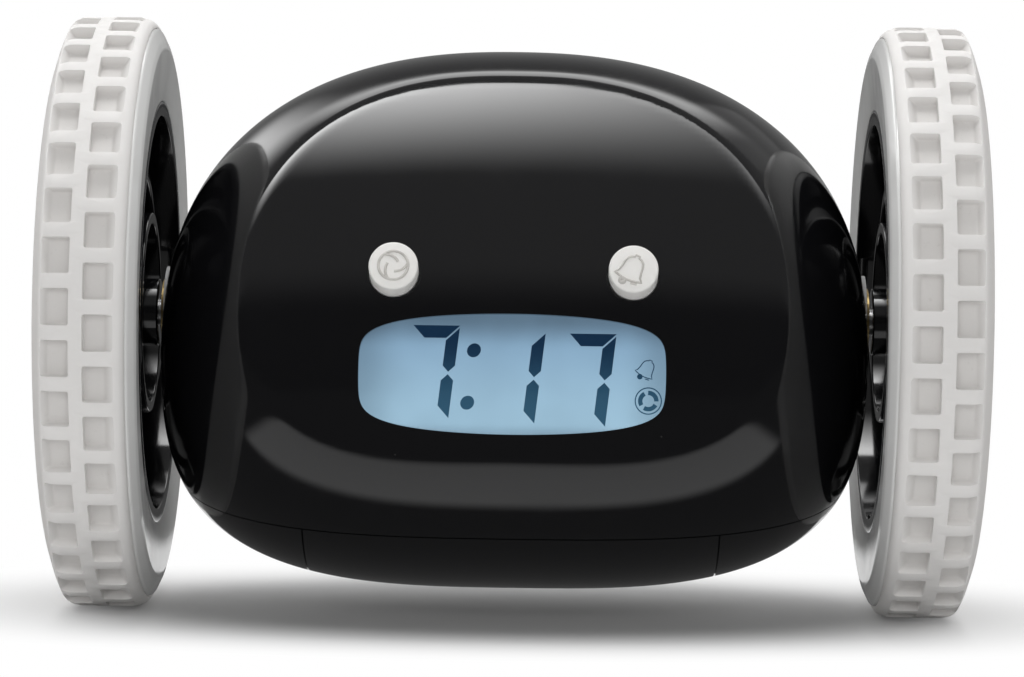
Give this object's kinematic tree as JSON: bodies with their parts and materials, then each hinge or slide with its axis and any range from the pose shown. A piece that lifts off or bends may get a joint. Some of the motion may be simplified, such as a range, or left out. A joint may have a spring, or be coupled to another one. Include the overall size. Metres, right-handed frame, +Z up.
{
  "type": "runaway alarm clock",
  "caption": "Egg-shaped digital alarm clock slung between two motor-driven, soft-tyred wheels, with a lit display, round face buttons and rear setting keys.",
  "frame": {"origin": "On the floor, half way between the wheels, below the axle", "axes": "+X to the right as one looks at the face, along the axle; -Y the way the face looks; +Z up"},
  "size_m": [0.1348, 0.088, 0.088],
  "materials": {
    "shell": "glossy black moulding",
    "white_plastic": "glossy white moulding",
    "cap_plastic": "satin off-white moulding",
    "soft_white": "matt off-white soft tyre",
    "lens": "clear window over a blue backlight",
    "lcd": "glass panel with blue backlight",
    "digits": "dark blue display segments",
    "guide": "clear light guide",
    "inner_plastic": "natural matt moulding",
    "dark_plastic": "black matt moulding",
    "board": "green circuit board",
    "nylon": "natural nylon",
    "brass": "turned brass",
    "steel": "bright steel",
    "motor": "plated can, with the mean density of can, magnets and winding",
    "cell": "plain sleeve, with the mean density of a dry cell",
    "cone": "coated paper cone",
    "magnet": "plated magnet"
  },
  "bodies": {
    "body": {"top_shell": "shell", "base_shell": "shell", "shell_screws": "steel", "display_lens": "lens", "display_frame": "inner_plastic", "lcd_panel": "lcd", "lcd_digits": "digits", "light_guide": "guide", "main_board": "board", "controller_chip": "dark_plastic", "face_switches": "dark_plastic", "key_board": "board", "key_switches": "dark_plastic", "inner_screws": "steel", "speaker_frame": "steel", "speaker_cone": "cone", "speaker_magnet": "magnet", "chassis": "dark_plastic", "battery_cells": "cell", "contact_springs": "steel", "contact_plates": "steel", "motor_clamps": "steel", "left_motor": "motor", "left_gearbox_case": "inner_plastic", "left_gearbox_cover": "inner_plastic", "left_gear_pins": "steel", "left_bush": "brass", "right_motor": "motor", "right_gearbox_case": "inner_plastic", "right_gearbox_cover": "inner_plastic", "right_gear_pins": "steel", "right_bush": "brass"},
    "battery_door": {"battery_door": "shell", "door_screw": "steel"},
    "run_button": {"run_button": "cap_plastic"},
    "alarm_button": {"alarm_button": "cap_plastic"},
    "time_key": {"time_key": "cap_plastic"},
    "hour_key": {"hour_key": "cap_plastic"},
    "minute_key": {"minute_key": "cap_plastic"},
    "alarm_key": {"alarm_key": "cap_plastic"},
    "snooze_key": {"snooze_key": "cap_plastic"},
    "left_wheel": {"left_axle_gear": "nylon", "left_axle": "steel", "left_hub": "shell", "left_hub_cap": "shell", "left_rim": "white_plastic", "left_tyre": "soft_white"},
    "left_pinion": {"left_pinion": "brass"},
    "left_first_gear": {"left_first_gear": "nylon"},
    "left_second_gear": {"left_second_gear": "nylon"},
    "right_wheel": {"right_axle_gear": "nylon", "right_axle": "steel", "right_hub": "shell", "right_hub_cap": "shell", "right_rim": "white_plastic", "right_tyre": "soft_white"},
    "right_pinion": {"right_pinion": "brass"},
    "right_first_gear": {"right_first_gear": "nylon"},
    "right_second_gear": {"right_second_gear": "nylon"}
  },
  "joints": [
    {"name": "left_wheel_spin", "type": "hinge", "parent": "body", "child": "left_wheel", "pos_m": [0, 0, 0.044], "axis": [1, 0, 0], "continuous": true},
    {"name": "left_second_gear_spin", "type": "hinge", "parent": "body", "child": "left_second_gear", "pos_m": [0, -0.01057, 0.03481], "axis": [1, 0, 0], "continuous": true},
    {"name": "left_first_gear_spin", "type": "hinge", "parent": "body", "child": "left_first_gear", "pos_m": [0, -0.00008, 0.02801], "axis": [1, 0, 0], "continuous": true},
    {"name": "left_pinion_spin", "type": "hinge", "parent": "body", "child": "left_pinion", "pos_m": [0, 0.00795, 0.03758], "axis": [1, 0, 0], "continuous": true},
    {"name": "right_wheel_spin", "type": "hinge", "parent": "body", "child": "right_wheel", "pos_m": [0, 0, 0.044], "axis": [1, 0, 0], "continuous": true},
    {"name": "right_second_gear_spin", "type": "hinge", "parent": "body", "child": "right_second_gear", "pos_m": [0, -0.01057, 0.03481], "axis": [1, 0, 0], "continuous": true},
    {"name": "right_first_gear_spin", "type": "hinge", "parent": "body", "child": "right_first_gear", "pos_m": [0, -0.00008, 0.02801], "axis": [1, 0, 0], "continuous": true},
    {"name": "right_pinion_spin", "type": "hinge", "parent": "body", "child": "right_pinion", "pos_m": [0, 0.00795, 0.03758], "axis": [1, 0, 0], "continuous": true},
    {"name": "run_button_press", "type": "slide", "parent": "body", "child": "run_button", "axis": [0, 0.9336, -0.3584], "range_m": [0, 0.0008], "stiffness_N_per_m": 1200},
    {"name": "alarm_button_press", "type": "slide", "parent": "body", "child": "alarm_button", "axis": [0, 0.9336, -0.3584], "range_m": [0, 0.0008], "stiffness_N_per_m": 1200},
    {"name": "time_key_press", "type": "slide", "parent": "body", "child": "time_key", "axis": [0, -1, 0], "range_m": [0, 0.0006], "stiffness_N_per_m": 1200},
    {"name": "hour_key_press", "type": "slide", "parent": "body", "child": "hour_key", "axis": [0, -1, 0], "range_m": [0, 0.0006], "stiffness_N_per_m": 1200},
    {"name": "minute_key_press", "type": "slide", "parent": "body", "child": "minute_key", "axis": [0, -1, 0], "range_m": [0, 0.0006], "stiffness_N_per_m": 1200},
    {"name": "alarm_key_press", "type": "slide", "parent": "body", "child": "alarm_key", "axis": [0, -1, 0], "range_m": [0, 0.0006], "stiffness_N_per_m": 1200},
    {"name": "snooze_key_press", "type": "slide", "parent": "body", "child": "snooze_key", "axis": [0, -1, 0], "range_m": [0, 0.0006], "stiffness_N_per_m": 1200},
    {"name": "battery_door_lift", "type": "slide", "parent": "body", "child": "battery_door", "axis": [0, 0, -1], "range_m": [0, 0.012]}
  ],
  "couplings": [
    {"joint": "left_second_gear_spin", "follows": "left_wheel_spin", "ratio": -3.6667},
    {"joint": "left_first_gear_spin", "follows": "left_wheel_spin", "ratio": 14.667},
    {"joint": "left_pinion_spin", "follows": "left_wheel_spin", "ratio": -58.667},
    {"joint": "right_second_gear_spin", "follows": "right_wheel_spin", "ratio": -3.6667},
    {"joint": "right_first_gear_spin", "follows": "right_wheel_spin", "ratio": 14.667},
    {"joint": "right_pinion_spin", "follows": "right_wheel_spin", "ratio": -58.667}
  ]
}
